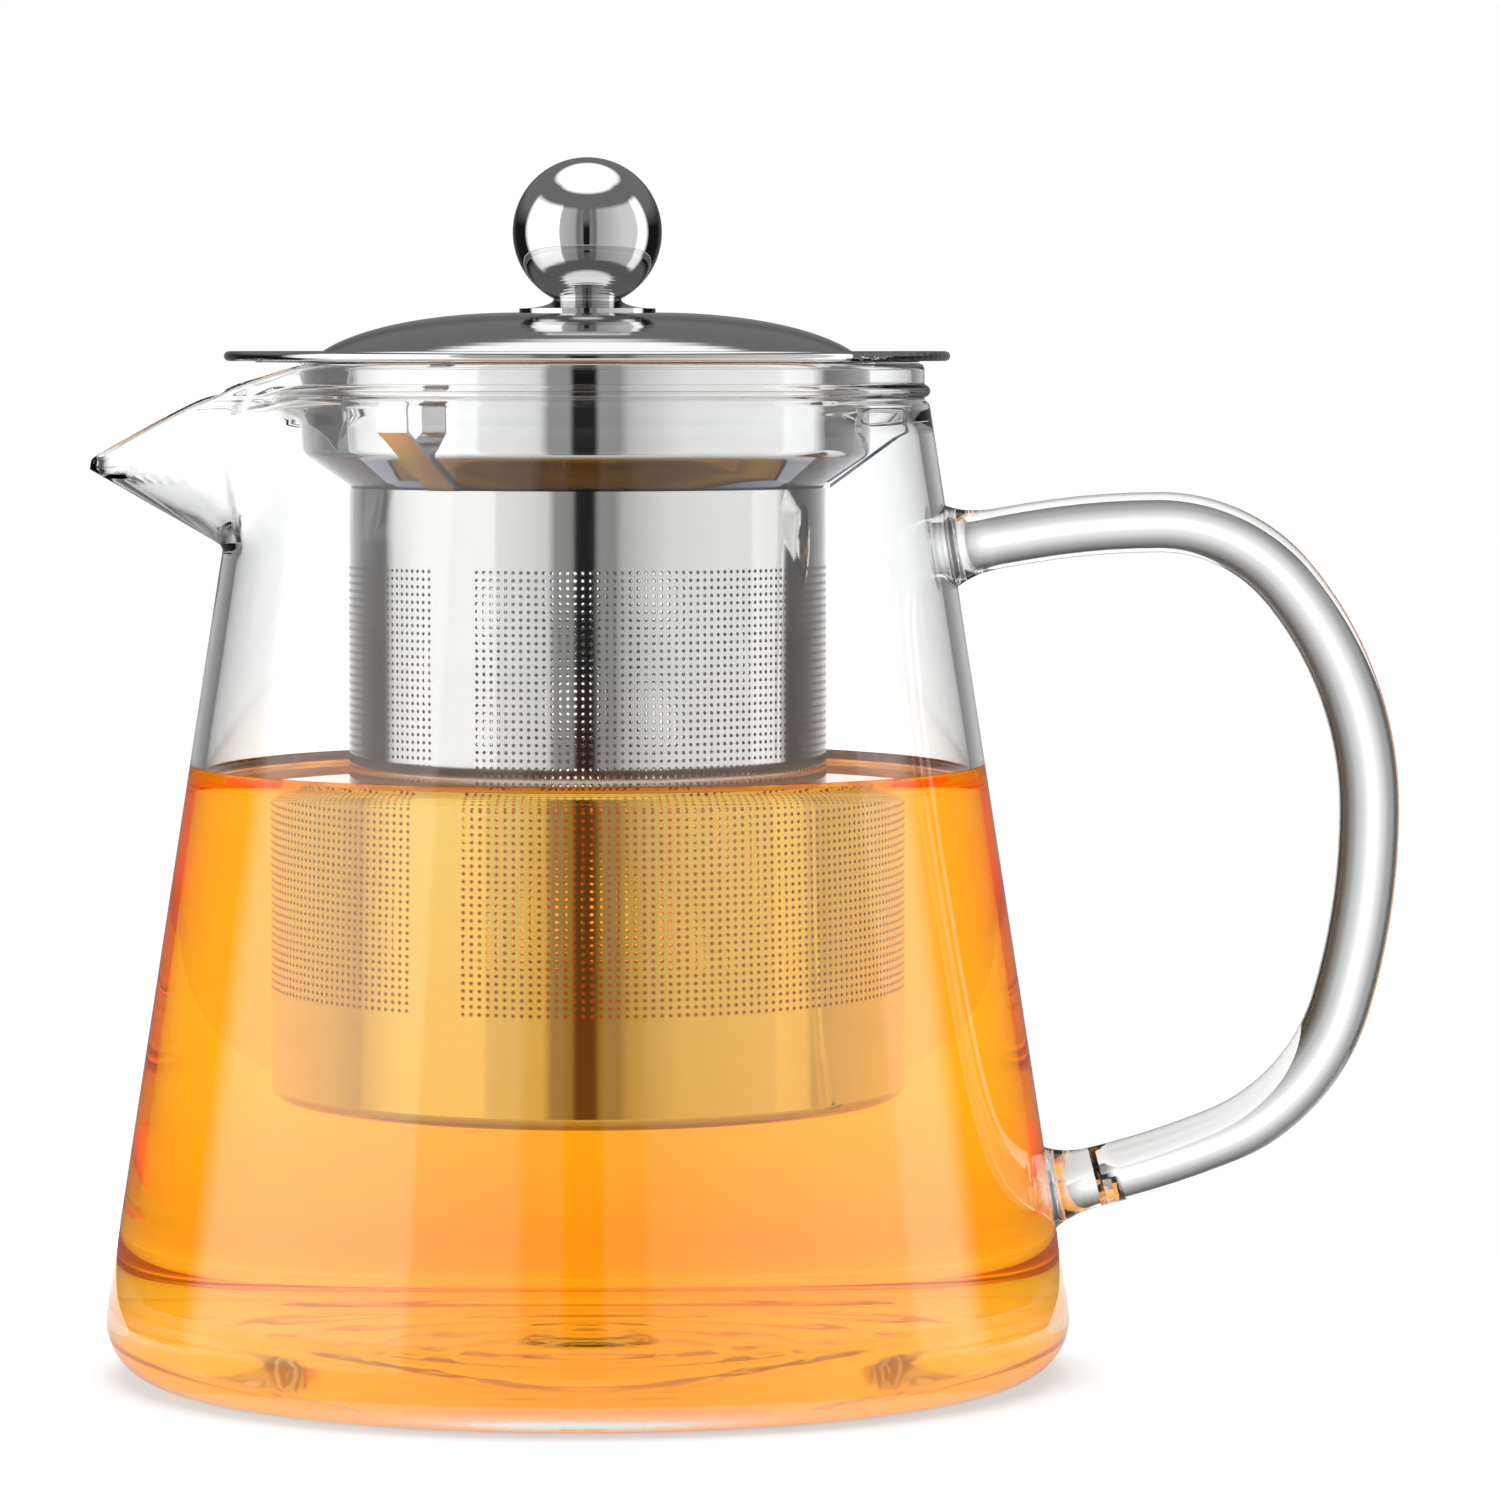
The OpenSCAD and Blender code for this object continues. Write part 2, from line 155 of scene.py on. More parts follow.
def loft(name, rings, material, closed_rows=False):
    """A skin through rings of points in mm; a ring of one point closes the skin there."""
    vertices = [Vector(p) * MM for ring in rings for p in ring]
    starts = [sum(len(r) for r in rings[:i]) for i in range(len(rings))]
    faces = []
    pairs = list(zip(range(len(rings)), range(1, len(rings))))
    if closed_rows:
        pairs.append((len(rings) - 1, 0))
    for low, high in pairs:
        n = max(len(rings[low]), len(rings[high]))
        for j in range(n):
            k = (j + 1) % n
            corners = [starts[low] + j % len(rings[low]), starts[low] + k % len(rings[low]),
                       starts[high] + k % len(rings[high]), starts[high] + j % len(rings[high])]
            faces.append(list(dict.fromkeys(corners)))
    mesh = bpy.data.meshes.new(name)
    mesh.from_pydata(vertices, [], faces)
    work = bmesh.new()
    work.from_mesh(mesh)
    bmesh.ops.recalc_face_normals(work, faces=work.faces)
    work.to_mesh(mesh)
    work.free()
    mesh.shade_smooth()
    mesh.materials.append(material)
    piece = bpy.data.objects.new(name, mesh)
    bpy.context.scene.collection.objects.link(piece)
    return piece


def new_material(name):
    """An empty node material with its Principled shader, tree and object coordinates."""
    material = bpy.data.materials.new(name)
    material.use_nodes = True
    tree = material.node_tree
    shader = tree.nodes["Principled BSDF"]
    place = tree.nodes.new("ShaderNodeTexCoord").outputs["Object"]
    return material, tree, shader, place


def clear_glass(name, wave_scale, wave):
    """Clear glass whose surface is a little uneven, as blown and drawn glass is."""
    material, tree, shader, place = new_material(name)
    shader.inputs["Base Color"].default_value = (0.985, 0.995, 0.99, 1)
    shader.inputs["Roughness"].default_value = 0.0
    shader.inputs["IOR"].default_value = 1.47
    shader.inputs["Transmission Weight"].default_value = 1.0
    noise = tree.nodes.new("ShaderNodeTexNoise")
    noise.inputs["Scale"].default_value = wave_scale
    noise.inputs["Detail"].default_value = 1.0
    bump = tree.nodes.new("ShaderNodeBump")
    bump.inputs["Strength"].default_value = wave
    bump.inputs["Distance"].default_value = 0.0005
    tree.links.new(place, noise.inputs["Vector"])
    tree.links.new(noise.outputs["Fac"], bump.inputs["Height"])
    tree.links.new(bump.outputs["Normal"], shader.inputs["Normal"])
    return material


jug_glass = clear_glass("jug_glass", 60, 0.03)


def base_under(r):
    """Underside of the base: flat where it stands, faintly dished and ringed by the mould inside."""
    if r > dish_r:
        return 0.0
    dish = 0.5 * (1 - (r / dish_r) ** 2) ** 2
    return dish + 0.05 * math.cos(r * 1.3) * smooth((dish_r - r) / 6)


def floor_top(r):
    """Top of the base: soft rings and a small raised knot where the glass was cut off the pipe."""
    rings = 0.16 * math.cos(r * 0.8) * smooth((dish_r - r) / 12) * smooth((r - 7) / 5)
    knot = 1.3 * math.exp(-(r / 6.5) ** 6) - 0.5 * math.exp(-(r / 3) ** 4)
    return floor_t + rings + knot


# Turns from the beak in degrees, closest together at the beak.
columns = 288
turns = [(0.35 * u + 0.65 * u ** 3) * 180 for u in ((2 * i / columns) - 1 for i in range(columns))]
floor_c_z = floor_t + floor_round
floor_c = bore_radius(floor_c_z) - floor_round / math.cos(wall_tilt)


def jug_ring(radius_height):
    """A ring of the jug: radius and height at each turn from -X."""
    ring = []
    for a in turns:
        r, z = radius_height(a)
        ring.append((-r * math.cos(math.radians(a)), -r * math.sin(math.radians(a)), z))
    return ring


def round_ring(r, z):
    return jug_ring(lambda a: (r, z))


def jug_rings():
    """Rings from the middle of the underside, up the outside, over the rim and down inside."""
    rings = [[(0, 0, base_under(0))]]
    rings += [round_ring(r, base_under(r)) for r in (2 * i for i in range(1, 27))]
    for i in range(15):
        t = -math.pi / 2 + (math.pi / 2 + wall_tilt) * i / 14
        rings.append(round_ring(foot_c + foot_round * math.cos(t), foot_round * (1 + math.sin(t))))
    first = foot_round * (1 + math.sin(wall_tilt))
    for i in range(1, 22):
        z = first + (lip_low - first) * i / 22
        rings.append(round_ring(wall_radius(z), z))
    top = body_h - edge_h
    coarse = 20
    levels = [lip_low + (neck_z - 0.6 - lip_low) * i / coarse for i in range(coarse)]
    levels += [neck_z - 0.6 + (top - neck_z + 0.6) * i / 28 for i in range(29)]
    for level in levels:
        rings.append(jug_ring(lambda a: neck_point(a, level, False)))
    for i in range(1, 10):
        t = math.pi * i / 10

        def on_edge(a):
            out_r, out_z = neck_point(a, top, False)
            in_r = neck_point(a, top, True)[0]
            return ((out_r + in_r) / 2 + (out_r - in_r) / 2 * math.cos(t),
                    out_z + edge_h * math.sin(t))
        rings.append(jug_ring(on_edge))
    for level in reversed(levels):
        rings.append(jug_ring(lambda a: neck_point(a, level, True)))
    last = floor_c_z + floor_round * math.sin(wall_tilt)
    for i in range(1, 22):
        z = lip_low + (last - lip_low) * i / 22
        rings.append(round_ring(bore_radius(z), z))
    for i in range(15):
        t = wall_tilt - (math.pi / 2 + wall_tilt) * i / 14
        rings.append(round_ring(floor_c + floor_round * math.cos(t), floor_c_z + floor_round * math.sin(t)))
    inner = [floor_c - 0.75 * i for i in range(1, int(floor_c / 0.75))]
    rings += [round_ring(r, floor_top(r)) for r in inner]
    rings.append([(0, 0, floor_top(0))])
    return rings


jug = loft("glass_jug", jug_rings(), jug_glass)
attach(jug, "pot")
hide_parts("glass_body")

# ---- Glass handle --------------------------------------------------------------------------
# A drawn rod of the same glass, bent hot into a rounded D and fused to the wall at both ends,
# where it spreads into a pad.
rod_r = 3.75
pad_r = 5.4
pad_flare = 6.5
pad_sink = 0.45
handle_rise = 9.5
handle_stub = 10.0
handle_arcs = [(97, 9.5), (20.5, 50), (44, 40), (85, 16.4), (26, 51.6), (108, 8.5)]
top_z = body_h - 22.8
bottom_z = 23.0


def follow(p, radius, turn):
    """Place and heading after an arc of a radius that turns down by some degrees."""
    x, z, heading = p
    end = heading - turn
    h, e = math.radians(heading), math.radians(end)
    return x + radius * (math.sin(h) - math.sin(e)), z + radius * (math.cos(e) - math.cos(h)), end


def handle_line():
    """Stations [x, z, heading] from pad to pad, scaled so that the rod meets the wall."""
    unit = [(0.0, 0.0, handle_rise)]
    for radius, turn in handle_arcs:
        steps = math.ceil(turn / 2)
        start = unit[-1]
        unit += [follow(start, radius, turn * (i + 1) / steps) for i in range(steps)]
    rise = math.radians(handle_rise)
    start_x = wall_radius(top_z) + handle_stub * math.cos(rise)
    start_z = top_z + handle_stub * math.sin(rise)
    slope = math.tan(math.radians(unit[-1][2] + 180))
    low_x = wall_radius(bottom_z)
    scale = (start_z - bottom_z - (start_x - low_x) * slope) / (unit[-1][0] * slope - unit[-1][1])
    arcs = [(start_x + scale * x, start_z + scale * z, heading) for x, z, heading in unit]
    low_run = (arcs[-1][0] - low_x) / math.cos(math.radians(unit[-1][2] + 180))
    return arcs, low_run


def rod_ring(station, run, radius, sides=28):
    """Ring of points round the rod, run mm further along its heading."""
    x, z, heading = station
    h = math.radians(heading)
    cx, cz = x + run * math.cos(h), z + run * math.sin(h)
    ring = []
    for j in range(sides):
        t = 2 * math.pi * j / sides
        ring.append(Vector((cx - radius * math.cos(t) * math.sin(h), radius * math.sin(t),
                            cz + radius * math.cos(t) * math.cos(h))))
    return ring


def onto_wall(point, along):
    """How far a point must go along a direction to lie just under the jug's outer skin."""
    run = 0.0
    for _ in range(12):
        p = point + along * run
        gap = math.hypot(p.x, p.y) - (wall_radius(p.z) - pad_sink)
        run += gap
    return run


def pad_rings(station, wall_run, outward):
    """Rings of a pad from the wall out to the plain rod."""
    h = math.radians(station[2])
    into_wall = Vector((math.cos(h), 0, math.sin(h))) * -outward
    base = rod_ring(station, wall_run, pad_r)
    shifts = [onto_wall(p, into_wall) for p in base]
    steps = 10
    rings = []
    for i in range(steps + 1):
        u = i / steps
        radius = rod_r + (pad_r - rod_r) * (1 - u) ** 2.6
        ring = rod_ring(station, wall_run + outward * pad_flare * u, radius)
        rings.append([p + into_wall * s * (1 - u) for p, s in zip(ring, shifts)])
    centre = sum(rings[0], Vector()) / len(rings[0])
    return [[centre]] + rings


def handle_rings():
    """Rings of the whole handle, from the upper pad round to the lower one."""
    arcs, low_run = handle_line()
    rings = pad_rings(arcs[0], -handle_stub, 1)
    rings += [rod_ring(station, 0, rod_r) for station in arcs]
    rings += list(reversed(pad_rings(arcs[-1], low_run, -1)))
    return rings


handle = loft("glass_rod_handle", handle_rings(), clear_glass("rod_glass", 45, 0.05))
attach(handle, "pot")
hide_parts("glass_handle")

# ---- Tea -----------------------------------------------------------------------------------
# The drink in the jug, filled to well above the foot of the infuser. It wets the glass, so it
# climbs a little at the wall, and it reaches a hair into the glass so that no air shows between.
tea_level = 74.4
tea_sink = 0.06
meniscus = 1.6


def tea_rings():
    """Rings from the middle of the floor, up the wall and back in over the surface."""
    steps = 96

    def ring(r, z):
        return [(r * math.cos(2 * math.pi * j / steps), r * math.sin(2 * math.pi * j / steps), z)
                for j in range(steps)]
    rings = [[(0, 0, floor_top(0) - tea_sink)]]
    rings += [ring(i, floor_top(i) - tea_sink) for i in range(1, int(floor_c))]
    for i in range(15):
        t = -math.pi / 2 + (math.pi / 2 + wall_tilt) * i / 14
        rings.append(ring(floor_c + (floor_round + tea_sink) * math.cos(t),
                          floor_c_z + (floor_round + tea_sink) * math.sin(t)))
    low = floor_c_z + floor_round * math.sin(wall_tilt)
    high = tea_level + meniscus
    for i in range(1, 25):
        z = low + (high - low) * i / 24
        rings.append(ring(bore_radius(z) + tea_sink, z))
    for i in range(1, 9):
        away = 0.35 * i
        rings.append(ring(bore_radius(high) - away, tea_level + meniscus * math.exp(-away / 0.7)))
    rings.append(ring(bore_radius(high) - 6, tea_level))
    rings.append([(0, 0, tea_level)])
    return rings


tea_liquor, tree, shader, place = new_material("tea_liquor")
shader.inputs["Base Color"].default_value = (1, 1, 1, 1)
shader.inputs["Roughness"].default_value = 0.0
shader.inputs["IOR"].default_value = 1.333
shader.inputs["Transmission Weight"].default_value = 1.0
steep = tree.nodes.new("ShaderNodeTexNoise")
steep.inputs["Scale"].default_value = 18
steep.inputs["Detail"].default_value = 2
strength = tree.nodes.new("ShaderNodeMapRange")
strength.inputs["To Min"].default_value = 60.0
strength.inputs["To Max"].default_value = 68.0
absorb = tree.nodes.new("ShaderNodeVolumeAbsorption")
absorb.inputs["Color"].default_value = (0.996, 0.825, 0.15, 1)
tree.links.new(place, steep.inputs["Vector"])
tree.links.new(steep.outputs["Fac"], strength.inputs["Value"])
tree.links.new(strength.outputs["Result"], absorb.inputs["Density"])
# Painted glow: the tea gives off orange light of its own through its whole volume, though it is no lamp.
painted_glow = tree.nodes.new("ShaderNodeEmission")
painted_glow.inputs["Color"].default_value = (1, 0.36, 0.02, 1)
painted_glow.inputs["Strength"].default_value = 2.2
liquor = tree.nodes.new("ShaderNodeAddShader")
tree.links.new(absorb.outputs["Volume"], liquor.inputs[0])
tree.links.new(painted_glow.outputs["Emission"], liquor.inputs[1])
tree.links.new(liquor.outputs["Shader"], tree.nodes["Material Output"].inputs["Volume"])

tea = loft("tea", tea_rings(), tea_liquor)
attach(tea, "pot")

# ---- Infuser tube --------------------------------------------------------------------------
# Thin stainless sheet etched right through with rows of round holes, rolled and seam-welded up
# one side. The bands above and below the rows, and the strip beside the seam, are left plain.
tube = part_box("infuser_tube")
tube_low, tube_high = tube[0].z / MM, tube[1].z / MM
tube_r = 29.8
tube_t = 0.35
holes_low = 46.3
holes_high = 101.2
hole_pitch = 0.95
hole_r = 0.24
seam_angle = 238.0
seam_strip = 6.0


def steel(name, tint, rough, brush, stretch, depth):
    """Stainless steel with fine lines stretched along one way of the piece."""
    material, tree, shader, place = new_material(name)
    shader.inputs["Metallic"].default_value = 1.0
    shader.inputs["Base Color"].default_value = (*tint, 1)
    scale = tree.nodes.new("ShaderNodeMapping")
    scale.inputs["Scale"].default_value = stretch
    noise = tree.nodes.new("ShaderNodeTexNoise")
    noise.inputs["Scale"].default_value = brush
    noise.inputs["Detail"].default_value = 3
    spread = tree.nodes.new("ShaderNodeMapRange")
    spread.inputs["To Min"].default_value = rough * 0.75
    spread.inputs["To Max"].default_value = rough * 1.25
    bump = tree.nodes.new("ShaderNodeBump")
    bump.inputs["Strength"].default_value = depth
    bump.inputs["Distance"].default_value = 0.0002
    tree.links.new(place, scale.inputs["Vector"])
    tree.links.new(scale.outputs["Vector"], noise.inputs["Vector"])
    tree.links.new(noise.outputs["Fac"], spread.inputs["Value"])
    tree.links.new(spread.outputs["Result"], shader.inputs["Roughness"])
    tree.links.new(noise.outputs["Fac"], bump.inputs["Height"])
    tree.links.new(bump.outputs["Normal"], shader.inputs["Normal"])
    return material


tube_steel = steel("tube_steel", (0.60, 0.59, 0.58), 0.06, 400, (1, 1, 0.08), 0.008)


def cell_mesh(name, wide, high, radius, thick, sides):
    """One cell of perforated sheet, flat in XZ: a rectangle with a round hole through it."""
    corner = math.pi / 4
    vertices = []
    for y in (0.0, -thick):
        for j in range(sides):
            t = 2 * math.pi * j / sides + corner
            vertices.append((radius * math.cos(t), y, radius * math.sin(t)))
        for j in range(sides):
            t = 2 * math.pi * j / sides + corner
            c, s = math.cos(t), math.sin(t)
            reach = 1 / max(abs(c), abs(s))
            vertices.append((wide / 2 * c * reach, y, high / 2 * s * reach))
    faces = []
    for j in range(sides):
        k = (j + 1) % sides
        faces.append((j, sides + j, sides + k, k))
        faces.append((2 * sides + k, 3 * sides + k, 3 * sides + j, 2 * sides + j))
        faces.append((k, 2 * sides + k, 2 * sides + j, j))
    mesh = bpy.data.meshes.new(name)
    mesh.from_pydata([Vector(v) * MM for v in vertices], [], faces)
    cell = bpy.data.objects.new(name, mesh)
    bpy.context.scene.collection.objects.link(cell)
    return cell


def node_group(name, settings):
    """A geometry node group with named number inputs."""
    group = bpy.data.node_groups.new(name, "GeometryNodeTree")
    for label, kind, value in settings:
        socket = group.interface.new_socket(label, in_out="INPUT", socket_type=kind)
        socket.default_value = value
    group.interface.new_socket("Geometry", in_out="OUTPUT", socket_type="NodeSocketGeometry")
    return group, group.nodes.new("NodeGroupInput"), group.nodes.new("NodeGroupOutput")


def maths(group, operation, first, second=None):
    """A maths node in a group; a plain number becomes a value on its socket."""
    node = group.nodes.new("ShaderNodeMath")
    node.operation = operation
    for socket, value in zip(node.inputs, (first, second)):
        if value is None:
            continue
        if isinstance(value, (int, float)):
            socket.default_value = value
        else:
            group.links.new(value, socket)
    return node.outputs[0]


def perforation(cell, across, rows, bottom, pitch, material):
    """Nodes that repeat one cell round the tube, row on row, and roll the sheet up."""
    group, given, made = node_group("perforation", [
        ("Cell", "NodeSocketObject", cell), ("Across", "NodeSocketInt", across),
        ("Rows", "NodeSocketInt", rows), ("Bottom", "NodeSocketFloat", bottom * MM),
        ("Pitch", "NodeSocketFloat", pitch * MM), ("Radius", "NodeSocketFloat", tube_r * MM),
        ("Start", "NodeSocketFloat", math.radians(seam_angle) + seam_strip / 2 / tube_r)])
    links = group.links
    points = group.nodes.new("GeometryNodePoints")
    links.new(maths(group, "MULTIPLY", given.outputs["Across"], given.outputs["Rows"]),
              points.inputs["Count"])
    index = group.nodes.new("GeometryNodeInputIndex").outputs[0]
    row = maths(group, "FLOOR", maths(group, "DIVIDE", index, given.outputs["Across"]))
    column = maths(group, "FLOORED_MODULO", index, given.outputs["Across"])
    place = group.nodes.new("ShaderNodeCombineXYZ")
    links.new(maths(group, "MULTIPLY", maths(group, "ADD", column, 0.5), given.outputs["Pitch"]),
              place.inputs["X"])
    links.new(maths(group, "ADD", given.outputs["Bottom"],
                    maths(group, "MULTIPLY", maths(group, "ADD", row, 0.5), given.outputs["Pitch"])),
              place.inputs["Z"])
    links.new(place.outputs[0], points.inputs["Position"])
    source = group.nodes.new("GeometryNodeObjectInfo")
    links.new(given.outputs["Cell"], source.inputs["Object"])
    lay = group.nodes.new("GeometryNodeInstanceOnPoints")
    links.new(points.outputs[0], lay.inputs["Points"])
    links.new(source.outputs["Geometry"], lay.inputs["Instance"])
    real = group.nodes.new("GeometryNodeRealizeInstances")
    links.new(lay.outputs[0], real.inputs[0])
    weld = group.nodes.new("GeometryNodeMergeByDistance")
    weld.inputs["Distance"].default_value = 0.00001
    links.new(real.outputs[0], weld.inputs[0])
    flat = group.nodes.new("ShaderNodeSeparateXYZ")
    links.new(group.nodes.new("GeometryNodeInputPosition").outputs[0], flat.inputs[0])
    angle = maths(group, "ADD", given.outputs["Start"],
                  maths(group, "DIVIDE", flat.outputs["X"], given.outputs["Radius"]))
    radius = maths(group, "ADD", given.outputs["Radius"], flat.outputs["Y"])
    rolled = group.nodes.new("ShaderNodeCombineXYZ")
    links.new(maths(group, "MULTIPLY", radius, maths(group, "COSINE", angle)), rolled.inputs["X"])
    links.new(maths(group, "MULTIPLY", radius, maths(group, "SINE", angle)), rolled.inputs["Y"])
    links.new(flat.outputs["Z"], rolled.inputs["Z"])
    roll = group.nodes.new("GeometryNodeSetPosition")
    links.new(weld.outputs[0], roll.inputs["Geometry"])
    links.new(rolled.outputs[0], roll.inputs["Position"])
    coat = group.nodes.new("GeometryNodeSetMaterial")
    coat.inputs["Material"].default_value = material
    links.new(roll.outputs[0], coat.inputs[0])
    links.new(coat.outputs[0], made.inputs[0])
    return group


def baked(name, group, material):
    """Run a node group on an empty mesh and keep the result as a plain mesh."""
    holder = bpy.data.objects.new(name, bpy.data.meshes.new(name))
    bpy.context.scene.collection.objects.link(holder)
    holder.modifiers.new("nodes", "NODES").node_group = group
    bpy.context.view_layer.update()
    mesh = bpy.data.meshes.new_from_object(
        holder.evaluated_get(bpy.context.evaluated_depsgraph_get()))
    bpy.data.objects.remove(holder)
    mesh.materials.clear()
    mesh.materials.append(material)
    mesh.shade_smooth()
    mesh.set_sharp_from_angle(angle=math.radians(35))
    piece = bpy.data.objects.new(name, mesh)
    bpy.context.scene.collection.objects.link(piece)
    return piece


round_the_tube = 2 * math.pi * tube_r - seam_strip
across = round(round_the_tube / hole_pitch)
pitch = round_the_tube / across
rows = round((holes_high - holes_low) / pitch)
cell = cell_mesh("cell", pitch, pitch, hole_r, tube_t, 8)
bands = 3
for band in range(bands):
    first = rows * band // bands
    count = rows * (band + 1) // bands - first
    group = perforation(cell, across, count, holes_low + first * pitch, pitch, tube_steel)
    sheet = baked(f"perforated_sheet_{band + 1}", group, tube_steel)
    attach(sheet, "infuser")
    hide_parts("infuser_tube")
bpy.data.objects.remove(cell)

holes_top = holes_low + rows * pitch


def plain_band(name, low, high, start, end, steps):
    """A plain length of the rolled sheet: ring positions run from start to end in degrees."""
    whole = end - start >= 360
    n = steps if whole else steps + 1
    rows_of_points = []
    for r, z in ((tube_r, low), (tube_r, high), (tube_r - tube_t, high), (tube_r - tube_t, low)):
        angles = [math.radians(start + (end - start) * j / steps) for j in range(n)]
        rows_of_points.append([(r * math.cos(t), r * math.sin(t), z) for t in angles])
    mesh = bpy.data.meshes.new(name)
    vertices = [Vector(p) * MM for ring in rows_of_points for p in ring]
    faces = []
    for side in range(4):
        other = (side + 1) % 4
        for j in range(steps):
            k = (j + 1) % n
            faces.append((side * n + j, side * n + k, other * n + k, other * n + j))
    if not whole:
        faces += [(0, n, 2 * n, 3 * n), (4 * n - 1, 3 * n - 1, 2 * n - 1, n - 1)]
    mesh.from_pydata(vertices, [], faces)
    work = bmesh.new()
    work.from_mesh(mesh)
    bmesh.ops.recalc_face_normals(work, faces=work.faces)
    work.to_mesh(mesh)
    work.free()
    mesh.shade_smooth()
    mesh.set_sharp_from_angle(angle=math.radians(40))
    mesh.materials.append(tube_steel)
    piece = bpy.data.objects.new(name, mesh)
    bpy.context.scene.collection.objects.link(piece)
    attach(piece, "infuser")
    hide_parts("infuser_tube")


half_strip = math.degrees(seam_strip / 2 / tube_r)
plain_band("tube_foot_band", tube_low, holes_low, 0, 360, 192)
plain_band("tube_head_band", holes_top, tube_high, 0, 360, 192)
plain_band("tube_seam_strip", holes_low, holes_top, seam_angle - half_strip,
           seam_angle + half_strip, 8)

# ---- Infuser base --------------------------------------------------------------------------
# A shallow pressed cap of the same stainless sheet that closes the foot of the tube. It is
# pushed up inside the tube and spot-welded.


def coat(name, material):
    """Give a piece of the frame its material."""
    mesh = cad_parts[name].data
    mesh.materials.clear()
    mesh.materials.append(material)
    return mesh


coat("infuser_base", steel("base_steel", (0.60, 0.58, 0.56), 0.16, 300, (1, 1, 1), 0.04))

# ---- Infuser collar ------------------------------------------------------------------------
# A bright drawn ring that hangs inside the jug's neck: a rolled top edge, an upright wall, a
# rounded shoulder, and a short spigot that the tube is welded over.
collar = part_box("infuser_collar")
collar_top = collar[1].z / MM
collar_r = 35.3
collar_low = 114.8
shoulder_z = 110.7
spigot_z = shoulder_z - 3.0
collar_t = 0.5
flange_r = 41.4
roll_r = 0.9
corner_r = 1.6
corner_z = collar_low + 0.9
edge_r = 0.25
collar_shine = (0.66, 0.66, 0.66)


def turned(name, profile, material, steps=160):
    """A closed profile [r, z] in mm turned about the Z axis."""
    rings = []
    for r, z in profile:
        if r < 1e-6:
            rings.append([(0, 0, z)])
        else:
            angles = [2 * math.pi * j / steps for j in range(steps)]
            rings.append([(r * math.cos(t), r * math.sin(t), z) for t in angles])
    solid = loft(name, rings, material, closed_rows=profile[0][0] > 1e-6)
    solid.data.set_sharp_from_angle(angle=math.radians(38))
    return solid


def arc(cx, cz, radius, start, end, steps):
    """Points of an arc, its angles in degrees from outwards to upwards."""
    angles = [math.radians(start + (end - start) * i / steps) for i in range(steps + 1)]
    return [(cx + radius * math.cos(t), cz + radius * math.sin(t)) for t in angles]


def paint_shade_below(material, bright, dark, low, high):
    """Steel coloured darker below a height: painted shade, which dims what the shoulder mirrors."""
    tree = material.node_tree
    height = tree.nodes.new("ShaderNodeSeparateXYZ")
    tree.links.new(tree.nodes.new("ShaderNodeTexCoord").outputs["Object"], height.inputs[0])
    share = tree.nodes.new("ShaderNodeMapRange")
    share.inputs["From Min"].default_value = low * MM
    share.inputs["From Max"].default_value = high * MM
    tree.links.new(height.outputs["Z"], share.inputs["Value"])
    tint = tree.nodes.new("ShaderNodeMix")
    tint.data_type = "RGBA"
    tint.inputs[6].default_value = (*dark, 1)
    tint.inputs[7].default_value = (*bright, 1)
    tree.links.new(share.outputs["Result"], tint.inputs[0])
    tree.links.new(tint.outputs[2], tree.nodes["Principled BSDF"].inputs["Base Color"])


collar_steel = steel("collar_steel", collar_shine, 0.02, 500, (1, 1, 0.05), 0.004)
# Painted shade: the shoulder below the upright wall is coloured dark blue-grey.
paint_shade_below(collar_steel, collar_shine, (0.16, 0.19, 0.26), collar_low - 0.6, collar_low + 0.6)
shoulder_w = collar_r - tube_r
slope = math.degrees(math.atan2(collar_low - shoulder_z, shoulder_w))
collar_outline = [(tube_r - tube_t, spigot_z), (tube_r - tube_t, shoulder_z)]
collar_outline += arc(collar_r - corner_r, corner_z, corner_r, slope - 90, 0, 10)
collar_outline += [(collar_r, collar_low + 4), (collar_r, collar_top - 3)]
collar_outline += arc(collar_r + roll_r, collar_top - roll_r - collar_t, roll_r, 180, 90, 8)
collar_outline += [(flange_r - 0.4, collar_top - collar_t)]
collar_outline += arc(flange_r - edge_r, collar_top - edge_r, edge_r, -90, 90, 8)
collar_outline += arc(collar_r + roll_r, collar_top - roll_r - collar_t, roll_r + collar_t, 90, 180, 8)
collar_outline += [(collar_r - collar_t, collar_low + 4)]
collar_outline += arc(collar_r - corner_r, corner_z, corner_r - collar_t, 0, slope - 90, 8)
collar_outline += [(tube_r - tube_t - collar_t, shoulder_z + 0.2),
                   (tube_r - tube_t - collar_t, spigot_z)]
ring = turned("infuser_collar_ring", collar_outline, collar_steel)
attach(ring, "infuser")
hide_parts("infuser_collar")

# ---- Infuser clips -------------------------------------------------------------------------
# Three narrow strips of spring steel, welded to the shoulder, that lean out to touch the neck
# and end in a small upright pad.
clip_steel = steel("clip_steel", collar_shine, 0.05, 500, (1, 1, 0.3), 0.02)
# Painted shade: the clips are coloured dark blue-grey low down, where they stand by the shoulder.
paint_shade_below(clip_steel, collar_shine, (0.22, 0.27, 0.36), collar_low - 1, collar_low + 4)
for name in ("clip_right", "clip_back_left", "clip_front_left"):
    coat(name, clip_steel)

# ---- Lid shell -----------------------------------------------------------------------------
# Pressed stainless sheet with a flat brim, its edge rolled under, and a low dome that rises to
# a flat under the knob. Four small steam holes are pierced in the dome.
dome_steel = steel("dome_steel", (0.63, 0.63, 0.63), 0.09, 500, (1, 1, 1), 0.01)


def polish(name, material):
    """Give a piece of the frame its material, smooth apart from its sharp edges."""
    mesh = coat(name, material)
    mesh.shade_smooth()
    mesh.set_sharp_from_angle(angle=math.radians(35))


